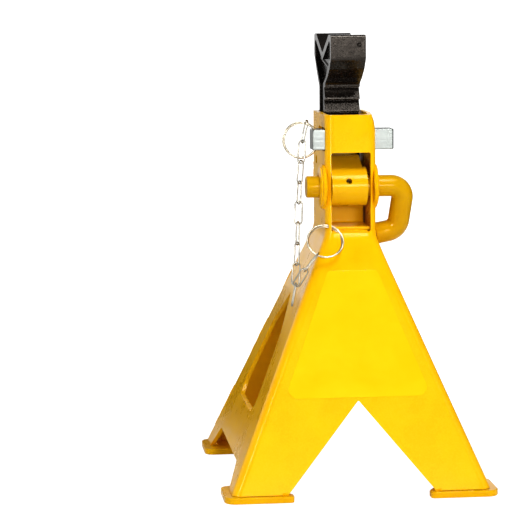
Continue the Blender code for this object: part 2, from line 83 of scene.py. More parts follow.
SHEET = 2.5            # sheet thickness
BEND_R = 6.0           # outer radius of the two front folds
SHOULDER_Z = 156.0     # where the slope turns into the upright column
SHOULDER_SOFT = 4.0    # half length of that turn
COL_FRONT = -41.3      # front face of the column
COL_BACK = 16.1        # rear edge of the column
ARCH_TOP = 57.9        # inverted V between two legs
ARCH_HALF = 47.0
WIN_HALF = 11.8        # front window
WIN_EXTRA = 0.8        # which is this much wider on the right
WIN_LOW = 157.7
WIN_HIGH = 206.4
BOW_FROM = 148.0       # the right wall of the column stands out from here up
BOW_OUT = 0.9
PINCH_FROM = 208.0     # and its front fold is squeezed in from here up
PINCH_IN = 2.3
ROD_R = 6.7            # bent rod
DRUM_R = 12.0          # round part of the pawl
RING_R = 11.0          # ring centre-line radius
BAR_HALF = 11.1        # half width of the lifting bar
BAR_BACK = 12.6        # its plain rear edge
TOOTH_OUT, TOOTH_IN = -6.5, -3.4                # tips and roots of its teeth
PITCH, TOOTH_TOP, TOOTH_N = 7.75, 245.1, 24     # their spacing, upper end and number
HORN_FRONT = -25.3     # outer face of the front horn
HORN_REAR = 29.6       # outer face of the rear horn
VALLEY_Z = 267.0       # bottom of the V between the horns
BAR_YAW = 3.5          # degrees the loose bar sits turned in the column
BAR_SHIFT = -0.45      # and its sideways play
STOP_PIN_Y = 4.7       # stop pin: depth, and height above the bar's lower end
STOP_PIN_UP = 14.0
HANDLE_LEAN = 14.0     # degrees the handle hangs to the rear of plumb
HANDLE_DROP = 27.7     # height of the handle, from the shaft to its lower bend
HANDLE_DIP = 2.8       # the lower arm's end hangs this much lower
HANDLE_IN = 3.2        # the lower bend is this much nearer the column than the upper one
HANDLE_END = 18.1      # where the lower arm ends
HANDLE_BENDS = (7.6, 8.4)
PIN_TILT = 20.0        # degrees the pawl's roll pin points up at the front
RIM_IN = 1.5           # a boss's disc is this much smaller than in the CAD; its weld bead fills the rest
LABEL_MID = 97.0       # height about which the label's edge is drawn in


# ---------------------------------------------------------------- node helpers for materials
def smooth_ramp(tree, source, span):
    """Smooth step of a socket's value; span is (from low, from high, to low, to high)."""
    node = tree.nodes.new("ShaderNodeMapRange")
    node.interpolation_type = "SMOOTHSTEP"
    for k, value in enumerate(span):
        node.inputs[k + 1].default_value = value
    tree.links.new(source, node.inputs[0])
    return node.outputs[0]


def four(value):
    """Colours are written as three numbers; sockets take four."""
    return (*value, 1.0) if isinstance(value, tuple) else value


class Nodes:
    """Short calls for building one material's node tree."""

    def __init__(self, name):
        self.mat = bpy.data.materials.new(name)
        self.mat.use_nodes = True
        self.tree = self.mat.node_tree
        self.bsdf = self.tree.nodes["Principled BSDF"]
        self.place = self.tree.nodes.new("ShaderNodeTexCoord").outputs["Object"]

    def plug(self, value, socket):
        if isinstance(value, bpy.types.NodeSocket):
            self.tree.links.new(value, socket)
        else:
            socket.default_value = value

    def stretched(self, scale):
        """Texture coordinates scaled per axis."""
        node = self.tree.nodes.new("ShaderNodeMapping")
        node.inputs["Scale"].default_value = scale
        self.tree.links.new(self.place, node.inputs["Vector"])
        return node.outputs[0]

    def noise(self, scale, detail=3.0, rough=0.55, vector=None):
        node = self.tree.nodes.new("ShaderNodeTexNoise")
        node.inputs["Scale"].default_value = scale
        node.inputs["Detail"].default_value = detail
        node.inputs["Roughness"].default_value = rough
        self.tree.links.new(vector if vector is not None else self.place, node.inputs["Vector"])
        return node.outputs["Fac"]

    def cells(self, scale):
        node = self.tree.nodes.new("ShaderNodeTexVoronoi")
        node.inputs["Scale"].default_value = scale
        self.tree.links.new(self.place, node.inputs["Vector"])
        return node.outputs["Distance"]

    def remap(self, source, *span):
        return smooth_ramp(self.tree, source, span)

    def maths(self, kind, a, b):
        node = self.tree.nodes.new("ShaderNodeMath")
        node.operation = kind
        self.plug(a, node.inputs[0])
        self.plug(b, node.inputs[1])
        return node.outputs[0]

    def mix(self, share, a, b):
        node = self.tree.nodes.new("ShaderNodeMix")
        node.data_type = "RGBA"
        self.plug(share, node.inputs[0])
        for value, socket in ((a, node.inputs[6]), (b, node.inputs[7])):
            self.plug(four(value), socket)
        return node.outputs[2]

    def bump(self, height, distance, under=None):
        node = self.tree.nodes.new("ShaderNodeBump")
        node.inputs["Distance"].default_value = distance
        node.inputs["Strength"].default_value = 1.0
        self.plug(height, node.inputs["Height"])
        if under is not None:
            self.tree.links.new(under, node.inputs["Normal"])
        return node.outputs["Normal"]

    def edges(self, a, b):
        """0 on flats, 1 on convex edges."""
        geometry = self.tree.nodes.new("ShaderNodeNewGeometry")
        return self.remap(geometry.outputs["Pointiness"], a, b, 0.0, 1.0)

    def set(self, **values):
        names = {"colour": "Base Color", "rough": "Roughness", "metal": "Metallic", "coat": "Coat Weight",
                 "coat_rough": "Coat Roughness", "normal": "Normal", "spec": "Specular IOR Level",
                 "tint": "Specular Tint"}
        for key, value in values.items():
            self.plug(four(value), self.bsdf.inputs[names[key]])
        return self.mat


ENAMEL_SPEC = 0.36
ENAMEL_TINT = (1.0, 0.60, 0.03)     # keeps the paint's highlights yellow, as photographed


def yellow_paint(name, tone=1.0):
    """Sprayed gloss enamel: orange peel, slow film variation, fine dust nibs, and a painted highlight on convex
    edges.
    """
    n = Nodes(name)
    film = n.noise(38.0, 4.0)
    fine = n.noise(900.0, 2.0)
    peel = n.noise(330.0, 2.0, 0.4)
    nibs = n.remap(n.cells(420.0), 0.045, 0.10, 1.0, 0.0)
    rare = n.remap(n.noise(60.0, 1.0), 0.60, 0.66, 0.0, 1.0)
    base = n.mix(n.remap(film, 0.35, 0.65, 0.0, 1.0), (0.900 * tone, 0.455 * tone, 0.0012),
                 (0.935 * tone, 0.500 * tone, 0.0020))
    # lighter colour on convex edges, broken up by noise: a painted highlight
    edge_highlight = n.maths("MULTIPLY", n.edges(0.52, 0.60), n.remap(fine, 0.35, 0.7, 0.2, 0.8))
    colour = n.mix(n.maths("MULTIPLY", edge_highlight, 0.35), base, (0.98, 0.60, 0.03))
    rough = n.maths("ADD", n.remap(film, 0.3, 0.7, 0.22, 0.32), n.maths("MULTIPLY", fine, 0.06))
    normal = n.bump(n.maths("ADD", peel, n.maths("MULTIPLY", n.maths("MULTIPLY", nibs, rare), 0.8)), 0.00006)
    normal = n.bump(n.noise(26.0, 1.0), 0.00006, normal)
    return n.set(colour=colour, rough=rough, coat=0.16, coat_rough=0.09, spec=ENAMEL_SPEC, tint=ENAMEL_TINT,
                 normal=normal)


def weld_paint(name):
    """The same enamel over a weld bead: a little duller, with spatter."""
    n = Nodes(name)
    lump = n.noise(520.0, 3.0)
    spatter = n.remap(n.cells(700.0), 0.10, 0.25, 1.0, 0.0)
    colour = n.mix(n.remap(lump, 0.35, 0.7, 0.0, 1.0), (0.84, 0.40, 0.002), (0.92, 0.49, 0.003))
    normal = n.bump(n.maths("ADD", lump, n.maths("MULTIPLY", spatter, 0.6)), 0.00035)
    return n.set(colour=colour, rough=n.remap(lump, 0.3, 0.7, 0.28, 0.42), coat=0.04, spec=ENAMEL_SPEC,
                 tint=ENAMEL_TINT, normal=normal)


def label_film(name):
    """Blank glossy printed film with a faint ripple from the sheet under it."""
    n = Nodes(name)
    ripple = n.noise(55.0, 2.0)
    grain = n.noise(1500.0, 2.0)
    colour = n.mix(n.remap(ripple, 0.3, 0.7, 0.0, 1.0), (0.965, 0.535, 0.003), (0.985, 0.565, 0.005))
    normal = n.bump(ripple, 0.0005, n.bump(grain, 0.00001))
    return n.set(colour=colour, rough=n.remap(grain, 0.3, 0.7, 0.20, 0.27), coat=0.06, coat_rough=0.06,
                 spec=ENAMEL_SPEC, tint=(1.0, 0.72, 0.06), normal=normal)


def cast_black(name):
    """Black gloss paint over a rough casting, with pale dust specks and a painted highlight on convex edges."""
    n = Nodes(name)
    pebble = n.noise(620.0, 4.0, 0.6)
    swell = n.noise(130.0, 3.0)
    pits = n.remap(n.cells(260.0), 0.02, 0.22, 0.0, 1.0)
    dust = n.remap(n.cells(640.0), 0.07, 0.13, 1.0, 0.0)
    patch = n.remap(n.noise(75.0, 2.0), 0.58, 0.66, 0.0, 1.0)
    specks = n.maths("MULTIPLY", dust, patch)
    base = n.mix(n.remap(swell, 0.35, 0.7, 0.0, 1.0), (0.0070, 0.0052, 0.0042), (0.014, 0.0105, 0.0085))
    # lighter grey on convex edges, broken up by the pebble noise: a painted highlight
    edge_sheen = n.maths("MULTIPLY", n.edges(0.53, 0.62), n.remap(pebble, 0.4, 0.65, 0.1, 0.7))
    colour = n.mix(edge_sheen, base, (0.055, 0.048, 0.044))
    colour = n.mix(n.maths("MULTIPLY", specks, 0.75), colour, (0.42, 0.40, 0.37))
    height = n.maths("ADD", n.maths("MULTIPLY", pebble, 0.6), n.maths("MULTIPLY", swell, 1.4))
    height = n.maths("ADD", height, n.maths("MULTIPLY", pits, 0.5))
    return n.set(colour=colour, rough=n.remap(pebble, 0.3, 0.75, 0.18, 0.32), coat=0.12, coat_rough=0.18,
                 spec=0.45, tint=(1.0, 0.88, 0.76), normal=n.bump(height, 0.00006))


def zinc_plate(name):
    """Satin bright zinc with fine drawing lines along the bar and a faint cloudy bloom."""
    n = Nodes(name)
    drawn = n.noise(900.0, 3.0, 0.6, n.stretched((0.03, 1.0, 1.0)))
    cloud = n.noise(140.0, 4.0, 0.6)
    spangle = n.cells(330.0)
    colour = n.mix(n.remap(cloud, 0.3, 0.7, 0.0, 1.0), (0.265, 0.285, 0.268), (0.335, 0.352, 0.335))
    colour = n.mix(n.remap(spangle, 0.05, 0.5, 0.22, 0.0), colour, (0.37, 0.39, 0.375))
    rough = n.maths("ADD", n.remap(cloud, 0.3, 0.7, 0.26, 0.38), n.maths("MULTIPLY", drawn, 0.10))
    return n.set(colour=colour, metal=0.95, rough=rough, normal=n.bump(drawn, 0.00006))


def plated_wire(name, tint):
    """Bright plated wire with faint draw lines and tarnish."""
    n = Nodes(name)
    tarnish = n.noise(210.0, 4.0)
    fine = n.noise(2600.0, 2.0)
    dark = tuple(c * 0.62 for c in tint)
    colour = n.mix(n.remap(tarnish, 0.42, 0.72, 0.0, 1.0), tint, dark)
    return n.set(colour=colour, metal=1.0, rough=n.remap(tarnish, 0.3, 0.75, 0.26, 0.44),
                 normal=n.bump(fine, 0.00003))


def spring_steel(name):
    """Dark oiled steel with patches of scale."""
    n = Nodes(name)
    scale = n.noise(480.0, 4.0)
    colour = n.mix(n.remap(scale, 0.4, 0.65, 0.0, 1.0), (0.035, 0.028, 0.022), (0.11, 0.09, 0.07))
    return n.set(colour=colour, metal=1.0, rough=n.remap(scale, 0.3, 0.7, 0.28, 0.5),
                 normal=n.bump(scale, 0.00005))


PAINT = yellow_paint("yellow_enamel")
# the same yellow enamel darkened for the bent handle rod: painted shade
PAINT_ROD_SHADED = yellow_paint("enamel_painted_shade_rod", 0.66)
# the same yellow enamel darkened for the pawl and the foot plates: painted shade
PAINT_SHADED_PAWL_FEET = yellow_paint("enamel_painted_shade_pawl_feet", 0.84)      # the pawl and the feet
WELD = weld_paint("enamel_on_weld")
LABEL = label_film("label_film")
CAST = cast_black("painted_casting")
ZINC = zinc_plate("satin_zinc")
WIRE = plated_wire("plated_wire", (0.50, 0.475, 0.41))
RING_WIRE = plated_wire("plated_ring_wire", (0.68, 0.61, 0.47))
STEEL = spring_steel("spring_steel")


# ---------------------------------------------------------------- mesh helpers
def finish(name, bm, mat, angle=32.0):
    """Turn a bmesh in millimetres into a smooth-shaded object in metres."""
    bmesh.ops.remove_doubles(bm, verts=bm.verts, dist=1e-4)
    bmesh.ops.recalc_face_normals(bm, faces=bm.faces)
    bmesh.ops.scale(bm, vec=(MM,) * 3, verts=bm.verts)
    mesh = bpy.data.meshes.new(name)
    bm.to_mesh(mesh)
    bm.free()
    obj = bpy.data.objects.new(name, mesh)
    bpy.context.scene.collection.objects.link(obj)
    if mat is not None:
        mesh.materials.append(mat)
    mesh.shade_smooth()
    mesh.set_sharp_from_angle(angle=math.radians(angle))
    return obj


def place(obj, body, slot, *nodes):
    """Ride on a body and take over the CAD nodes it stands for. The slot argument is not used."""
    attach(obj, body)
    if nodes:
        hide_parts(*nodes)
    return obj


def loft(rings, closed=False):
    """Body through equal-length closed rings; capped at both ends unless it closes on itself."""
    bm = bmesh.new()
    rows = [[bm.verts.new(p) for p in ring] for ring in rings]
    n = len(rows[0])
    pairs = list(zip(rows[:-1], rows[1:]))
    if closed:
        pairs.append((rows[-1], rows[0]))
    for a, b in pairs:
        for i in range(n):
            j = (i + 1) % n
            bm.faces.new((a[i], a[j], b[j], b[i]))
    if not closed:
        bm.faces.new(rows[0])
        bm.faces.new(list(reversed(rows[-1])))
    return bm


def prism_x(profile, x0, x1):
    return loft([[(x, y, z) for y, z in profile] for x in (x0, x1)])


def prism_y(profile, y0, y1):
    return loft([[(x, y, z) for x, z in profile] for y in (y0, y1)])


def prism_z(profile, z0, z1):
    return loft([[(x, y, z) for x, y in profile] for z in (z0, z1)])


def oblong(a0, b0, a1, b1):
    """Corners of a rectangle between two opposite ones."""
    return [(a0, b0), (a1, b0), (a1, b1), (a0, b1)]


def circle(cx, cy, r, n):
    return [(cx + r * math.cos(2 * math.pi * i / n), cy + r * math.sin(2 * math.pi * i / n))
            for i in range(n)]


def fillet(prev, p, after, r, n):
    """Points of a rounded corner at p."""
    a = prev - p
    b = after - p
    half = a.angle(b) / 2
    d = min(r / math.tan(half), 0.48 * a.length, 0.48 * b.length)
    r = d * math.tan(half)
    a.normalize()
    b.normalize()
    c = p + (a + b).normalized() * (r / math.sin(half))
    v0 = p + a * d - c
    v1 = p + b * d - c
    turn = math.atan2(v0.x * v1.y - v0.y * v1.x, v0.dot(v1))
    out = []
    for k in range(n + 1):
        s = math.sin(turn * k / n)
        co = math.cos(turn * k / n)
        out.append((c.x + v0.x * co - v0.y * s, c.y + v0.x * s + v0.y * co))
    return out


def rounded(points, radii, n=6):
    """Closed outline with rounded corners; one radius per corner or one for all, 0 keeps it sharp."""
    count = len(points)
    if not isinstance(radii, (list, tuple)):
        radii = [radii] * count
    out = []
    for i in range(count):
        p = Vector(points[i])
        if radii[i] <= 0:
            out.append((p.x, p.y))
        else:
            out += fillet(Vector(points[i - 1]), p, Vector(points[(i + 1) % count]), radii[i], n)
    return out


def rounded_path(points, radii, n=12):
    """Open (x, y) path with rounded inner corners."""
    out = [tuple(points[0])]
    for i in range(1, len(points) - 1):
        out += fillet(Vector(points[i - 1]), Vector(points[i]), Vector(points[i + 1]), radii[i - 1], n)
    out.append(tuple(points[-1]))
    return out


def sweep(path, radius, sides, closed=False, up=(0.0, 1.0, 0.0), domed=0.0):
    """Round wire along a path. `radius` is a number or a function of the point's index; `domed` rounds
    both ends by that length."""
    n = len(path)
    angles = [2 * math.pi * k / sides for k in range(sides)]
    rows = []
    for i in range(n):
        p = Vector(path[i])
        if closed:
            t = Vector(path[(i + 1) % n]) - Vector(path[i - 1])
        else:
            t = Vector(path[min(i + 1, n - 1)]) - Vector(path[max(i - 1, 0)])
        t.normalize()
        side = t.cross(Vector(up)).normalized()
        other = side.cross(t).normalized()
        r = radius(i) if callable(radius) else radius
        ring = [side * math.cos(a) * r + other * math.sin(a) * r for a in angles]
        if not closed and domed and i in (0, n - 1):
            out = -t if i == 0 else t
            caps = []
            for a in (0.0, 0.4, 0.8, 1.2, math.pi / 2):
                shrink = 1 - domed / r * (1 - math.cos(a))
                caps.append([p + out * domed * (math.sin(a) - 1.0) + q * shrink for q in ring])
            rows += list(reversed(caps)) if i == 0 else caps
        else:
            rows.append([p + q for q in ring])
    return loft(rows, closed)


def cut(obj, cutters, operation="DIFFERENCE"):
    """Exact booleans with throw-away tool bodies; the operation "UNION" adds them instead."""
    tools = []
    for k, bm in enumerate(cutters):
        tool = finish("tool_%d" % k, bm, None)
        mod = obj.modifiers.new("cut_%d" % k, "BOOLEAN")
        mod.operation = operation
        mod.solver = "EXACT"
        mod.object = tool
        tools.append(tool)
    bake(obj)
    for tool in tools:
        mesh = tool.data
        bpy.data.objects.remove(tool, do_unlink=True)
        bpy.data.meshes.remove(mesh)
    bm = bmesh.new()
    bm.from_mesh(obj.data)
    bmesh.ops.remove_doubles(bm, verts=bm.verts, dist=1e-6)
    bmesh.ops.dissolve_degenerate(bm, dist=1e-6, edges=bm.edges)
    bm.to_mesh(obj.data)
    bm.free()
    return obj


def bake(obj):
    """Apply an object's modifiers to its mesh."""
    bpy.context.view_layer.update()
    mats = list(obj.data.materials)
    shape = obj.evaluated_get(bpy.context.evaluated_depsgraph_get())
    mesh = bpy.data.meshes.new_from_object(shape)
    obj.modifiers.clear()
    old = obj.data
    obj.data = mesh
    bpy.data.meshes.remove(old)
    mesh.materials.clear()
    for m in mats:
        mesh.materials.append(m)
    for poly in mesh.polygons:
        poly.material_index = 0


def soften(obj, width, segments=3, angle=32.0, whole=False):
    """Round every edge sharper than `angle`, then shade so that flat faces stay flat. `whole` joins
    coplanar faces first."""
    if whole:
        bm = bmesh.new()
        bm.from_mesh(obj.data)
        bmesh.ops.dissolve_limit(bm, angle_limit=math.radians(0.4), verts=bm.verts, edges=bm.edges)
        bm.to_mesh(obj.data)
        bm.free()
    mod = obj.modifiers.new("round_edges", "BEVEL")
    mod.width = width * MM
    mod.segments = segments
    mod.limit_method = "ANGLE"
    mod.angle_limit = math.radians(angle)
    mod.use_clamp_overlap = True
    mod.harden_normals = False
    obj.data.shade_smooth()
    bake(obj)
    obj.data.shade_smooth()
    obj.data.set_sharp_from_angle(angle=math.radians(50))
    mod = obj.modifiers.new("face_normals", "WEIGHTED_NORMAL")
    mod.keep_sharp = True
    mod.weight = 80
    return obj


def bead(name, path, r, slot, seed, up=(0.0, 0.0, 1.0), step=0.55, ripple=2.1):
    """Weld bead on the frame along a polyline: overlapping ripples, uneven width, tapered ends."""
    pts = [Vector(p) for p in path]
    fine = []
    for a, b in zip(pts[:-1], pts[1:]):
        count = max(1, round((b - a).length / step))
        fine += [a.lerp(b, k / count) for k in range(count)]
    fine.append(pts[-1])
    total = len(fine) - 1
    moved = []
    for i, p in enumerate(fine):
        q = p * 0.11 + Vector((seed, 0, 0))
        moved.append(p + Vector((noise.noise(q), noise.noise(q + Vector((9, 0, 0))),
                                 noise.noise(q + Vector((0, 9, 0))))) * 0.35)

    def radius(i):
        along = i * step
        uneven = noise.noise(Vector((along * 0.2, seed, 3)))
        wave = 1.0 + 0.10 * abs(math.sin(math.pi * along / ripple)) + 0.16 * uneven
        end = min(1.0, (min(i, total - i) + 0.6) * step / (1.6 * r))
        return r * wave * math.sqrt(max(0.05, end * (2 - end)))

    obj = finish(name, sweep(moved, radius, 12, up=up), WELD, angle=70)
    return place(obj, "frame", slot)


# ---------------------------------------------------------------- folded sheet base
def part_way(z):
    """1 at the lower edge, 0 on the column, with a soft turn between the two."""
    height = SHOULDER_Z - PAD_TOP
    below = SHOULDER_Z - z
    if below > SHOULDER_SOFT:
        return below / height
    if below < -SHOULDER_SOFT:
        return 0.0
    return (below + SHOULDER_SOFT) ** 2 / (4 * SHOULDER_SOFT) / height


def half_x(z):
    return COL_HALF_X + (BASE_HALF_X - COL_HALF_X) * part_way(z)


def front_y(z):
    return COL_FRONT - (BASE_HALF_Y + COL_FRONT) * part_way(z)


def back_y(z):
    return COL_BACK + (BASE_HALF_Y - COL_BACK) * part_way(z)


def wall(z):
    """Thickness in a level section, which is more where the sheet slopes."""
    return SHEET * (1.08 if z < SHOULDER_Z else 1.0)


def evenly(a, b, count):
    return [a + (b - a) * k / count for k in range(count + 1)]


def pinch(x, y, z):
    """The right wall bows out on the column and its fold is squeezed in towards the open top."""
    if x <= COL_HALF_X - BEND_R - 0.01:
        return 0.0
    rise = max(0.0, (z - PINCH_FROM) / (COL_TOP - PINCH_FROM)) ** 4.5
    fade = min(1.0, max(0.0, (COL_FRONT + 24.0 - y) / 15.0))
    flare = min(1.0, max(0.0, (z - BOW_FROM) / 10.0))
    return PINCH_IN * rise * fade - BOW_OUT * flare


def shell_ring(z):
    """Three-sided sheet section with two round folds, evenly divided so that shading stays even."""
    w, f, b, t = half_x(z), front_y(z), back_y(z), wall(z)
    arc = evenly(0, math.pi / 2, 12)
    outer = [(-w, y) for y in evenly(b, f + BEND_R, 10)[:-1]]
    outer += [(-w + BEND_R * (1 - math.cos(a)), f + BEND_R * (1 - math.sin(a))) for a in arc]
    outer += [(x, f) for x in evenly(-w + BEND_R, w - BEND_R, 8)[1:-1]]
    outer += [(-x, y) for x, y in reversed(outer) if x < -1e-6 and not (y == f and x > -w + BEND_R)]
    outer = [p for k, p in enumerate(outer) if k == 0 or (Vector(p) - Vector(outer[k - 1])).length > 1e-4]
    inner = []
    for x, y in outer:
        cx = max(-w + BEND_R, min(w - BEND_R, x))
        cy = max(f + BEND_R, y)
        out = Vector((x - cx, y - cy))
        if y > f + BEND_R + 1e-6:
            inner.append((x - math.copysign(t, x), y))
        elif out.length < 1e-6:
            inner.append((x, y + t))
        else:
            inner.append(tuple(Vector((cx, cy)) + out.normalized() * (BEND_R - t)))
    ring = outer + list(reversed(inner))
    return [(x - pinch(x, y, z), y, z) for x, y in ring]


def mirrored(half):
    """Whole (y, z) outline from its half on the rear side, listed from the top down."""
    return half + [(-y, z) for y, z in reversed(half) if abs(y) > 1e-6]


SHOULDER_LEVELS = evenly(SHOULDER_Z - SHOULDER_SOFT, SHOULDER_Z + SHOULDER_SOFT, 8)
LEVELS = (evenly(PAD_TOP, SHOULDER_LEVELS[0], 14)[:-1] + SHOULDER_LEVELS
          + evenly(SHOULDER_LEVELS[-1], COL_TOP, 16)[1:])
ARCH = rounded([(0, ARCH_TOP), (ARCH_HALF, 2.0), (-ARCH_HALF, 2.0)], (0.6, 0, 0))


def build_base_shell():
    obj = finish("base_shell_formed", loft([shell_ring(z) for z in LEVELS]), PAINT)
    side_arch = rounded([(-53.0, 19.0), (53.0, 19.0), (70.4, 2.0), (-70.4, 2.0)], (5, 5, 0, 0))
    side_opening = rounded(mirrored([(0, 116), (24, 93), (33, 68), (37, 53), (31, 45)]),
                           (2.5, 6, 9, 6, 5, 5, 6, 9, 6), 8)
    window = rounded(oblong(-WIN_HALF, WIN_LOW, WIN_HALF + WIN_EXTRA, WIN_HIGH), 1.2)
    # cutter that rolls the sheet's edge below the window
    roll = [(-38.6 - 4.6 * math.cos(a), 153.2 + 4.6 * math.sin(a)) for a in evenly(0.05, 1.45, 10)]
    lip = [(-46.0, 152.0)] + roll + [(-38.0, 159.0), (-46.0, 159.0)]
    # the keeper pin's slots share their front lower corner; the left one is longer
    slot_y, slot_z = -37.1, 207.3
    pin_left = rounded(oblong(slot_y, slot_z, -7.0, 221.6), (0.6, 5, 5, 1.0))
    pin_right = rounded(oblong(slot_y, slot_z, -20.9, 221.1), 0.8)
    tab_slot = rounded(oblong(-0.2, 196.8, 6.2, 201.8), 1.2)
    anchor_hole = circle(-37.8, 161.1, 2.0, 20)
    cut(obj, [
        prism_y(ARCH, -120, -20),
        prism_x(side_arch, -130, 130),
        prism_x(side_opening, -120, 120),
        prism_y(window, -60, COL_FRONT + BEND_R),
        prism_x(lip, -WIN_HALF, WIN_HALF),
        prism_x(circle(AXIS_Y, AXIS_Z, ROD_R + 0.4, 40), -40, 40),
        prism_x(pin_left, -30, 0),
        prism_x(pin_right, 0, 30),
        prism_x(tab_slot, -30, 0),
        prism_x(anchor_hole, -25, -11),
    ])
    soften(obj, 0.4, whole=True)
    lip_path = [(-11.0, -38.6, 157.9), (-4.0, -38.8, 157.8), (3.0, -38.6, 157.95), (11.0, -38.7, 157.8)]
    bead("window_lip_roll", lip_path, 0.75, "base_shell", 31, step=0.45, ripple=3.4)
    return place(obj, "frame", "base_shell", "base_shell")


def build_rear_panel():
    def ring(z):
        """Level section: a flat strip between the side panels."""
        x = half_x(z) - wall(z) - 0.3
        b = back_y(z)
        t = SHEET * (1.1 if z < SHOULDER_Z else 1.0)
        across = evenly(-x, x, 8)
        return [(k, b - t, z) for k in across] + [(k, b, z) for k in reversed(across)]

    obj = finish("rear_panel_formed", loft([ring(z) for z in LEVELS]), PAINT)
    cut(obj, [prism_y(ARCH, 5, 120)])
    soften(obj, 0.4, whole=True)
    return place(obj, "frame", "rear_panel", "rear_panel")


def build_bar_guide():
    lo, hi = low("bar_guide"), high("bar_guide")
    plate = 2.0
    front, back = lo.y - 2.0, -8.0
    outline = [(back - plate, hi.z), (back, hi.z), (back, lo.z), (front, lo.z), (front, lo.z + plate),
               (back - plate, lo.z + plate)]
    outline = rounded(outline, (0, 0, 2.6, 0, 0, 0.8))
    obj = finish("bar_guide_bent", prism_x(outline, lo.x, hi.x), PAINT)
    soften(obj, 0.35, 2)
    return place(obj, "frame", "bar_guide", "bar_guide")


def build_foot(name):
    """Plate with its inner corner cut off, and the beads that join it to the sheet."""
    lo, hi = low(name), high(name)
    sx = 1 if hi.x > -lo.x else -1
    sy = 1 if hi.y > -lo.y else -1
    front = sy < 0
    x0, x1 = (lo.x, hi.x) if sx > 0 else (hi.x, lo.x)
    y0, y1 = (hi.y, lo.y) if front else (lo.y, hi.y)
    trim = (15.0 if front else 8.0) * sx
    plan = [(x0 + trim, y0), (x1, y0), (x1, y1), (x0, y1), (x0, y1 - 7.0 * sy)]
    plan = rounded(plan, (2.0, 5.5, 7.0, 2.5, 1.5), 8)
    obj = finish(name + "_plate", prism_z(plan, lo.z, hi.z), PAINT_SHADED_PAWL_FEET)
    soften(obj, 0.7)
    place(obj, "frame", name, name)
    inner_x = sx * (half_x(PAD_TOP) - wall(PAD_TOP) - 0.9)
    inner_y = sy * (BASE_HALF_Y - wall(PAD_TOP) - 0.9)
    edge_x = sx * (ARCH_HALF - 1.0) if front else x0 + sx * 1.5
    seed = 3 + sx + 2 * sy
    height = PAD_T + 0.5
    inside = ((edge_x, inner_y, height), (inner_x - sx * 4, inner_y, height))
    along = ((inner_x, inner_y - sy * 4, height), (inner_x, sy * 68.5, height))
    bead(name + "_weld_front", inside, 1.5, name, seed)
    bead(name + "_weld_side", along, 1.5, name, seed + 10)
    if front:
        end = ((edge_x + sx * 2.6, sy * (BASE_HALF_Y - 0.2), height),
               (edge_x - sx * 0.7, sy * (BASE_HALF_Y - 1.2), height),
               (edge_x - sx * 0.6, inner_y, height))
        bead(name + "_weld_end", end, 1.05, name, seed + 20, step=0.4)


def build_rear_seams():
    """Stitch welds that join the rear panel to the side panels."""
    for side, sx in (("left", -1), ("right", 1)):
        for k, (z0, z1) in enumerate(((14, 44), (66, 92), (112, 136), (176, 198))):
            path = [(sx * (half_x(z) - 1.25), back_y(z) + 0.1, z) for z in evenly(z0, z1, 4)]
            bead("rear_seam_weld_%s_%d" % (side, k + 1), path, 1.35, "rear_panel", 40 + k + 7 * sx,
                 up=(1.0, 0.0, 0.0))


def build_boss(name, sx):
    """Disc with a raised hub round the shaft's hole and a bead round its rim."""
    left_extra = 1.0 if sx < 0 else 0.0
    x0 = sx * (COL_HALF_X + 0.1)
    x1 = sx * (COL_HALF_X + BOSS_GAP + BOSS_T + left_extra)
    x2 = x1 + sx * 0.5
    rim = BOSS_R - RIM_IN
    outline = [(x0, ROD_R + 0.45), (x0, rim), (x1 - sx * 0.5, rim), (x1 - sx * 0.12, rim - 0.2),
               (x1, rim - 0.6), (x1, 9.6), (x2, 8.9), (x2, ROD_R + 0.9), (x2 - sx * 0.3, ROD_R + 0.5)]
    rings = [[(x, AXIS_Y + r * math.cos(a), AXIS_Z + r * math.sin(a)) for x, r in outline]
             for a in [2 * math.pi * k / 72 for k in range(72)]]
    obj = finish(name + "_disc", loft(rings, closed=True), PAINT, 40)
    place(obj, "frame", name, name)
    path = [(sx * (COL_HALF_X + 0.45), AXIS_Y + rim * math.cos(a), AXIS_Z + rim * math.sin(a))
            for a in map(math.radians, evenly(-118, 246, 90))]
    bead(name + "_weld", path, 1.35, name, 70 + sx, up=(1.0, 0.0, 0.0), step=0.45)


# ---------------------------------------------------------------- lifting bar with saddle
def turned(bm):
    """Turn a piece of the loose bar about the bar's own middle, and shift it by its sideways play."""
    middle = Vector((0.0, (TOOTH_OUT + BAR_BACK) / 2, 0.0))
    spin = Matrix.Rotation(math.radians(BAR_YAW), 3, "Z")
    for v in bm.verts:
        v.co = spin @ (v.co - middle) + middle + Vector((BAR_SHIFT, 0.0, 0.0))
    return bm


def bar_outline():
    """Side view (y, z): V saddle on two horns, toothed front edge, plain rear edge."""
    top, middle = SADDLE_TOP, (HORN_FRONT + HORN_REAR) / 2
    corners = [(BAR_BACK, BAR_LOW, 1.0), (BAR_BACK, 245.2, 3.0), (15.5, 248.0, 5.0), (21.2, 254.0, 9.0),
               (25.6, 260.0, 6.0), (HORN_REAR, 264.5, 4.0), (HORN_REAR - 0.8, top, 1.9), (22.0, top, 1.9),
               (middle, VALLEY_Z - 0.6, 3.0), (-18.0, top, 1.9), (HORN_FRONT, top, 1.9),
               (HORN_FRONT, 263.0, 4.0), (-20.4, 256.5, 9.0), (-13.5, 251.2, 6.0), (-8.0, 248.2, 3.0),
               (TOOTH_OUT, 246.6, 0.5)]
    points = [(y, z) for y, z, r in corners]
    radii = [r for y, z, r in corners]
    for k in range(TOOTH_N):
        z = TOOTH_TOP - k * PITCH
        points += [(TOOTH_OUT, z), (TOOTH_IN, z - 0.05)]
        radii += [0.35, 0.5]
        if k < TOOTH_N - 1:
            points.append((TOOTH_OUT + 0.15, z - PITCH + 1.1))
            radii.append(0.5)
    points.append((TOOTH_IN - 0.9, BAR_LOW))
    radii.append(0.8)
    return rounded(points, radii, 6)


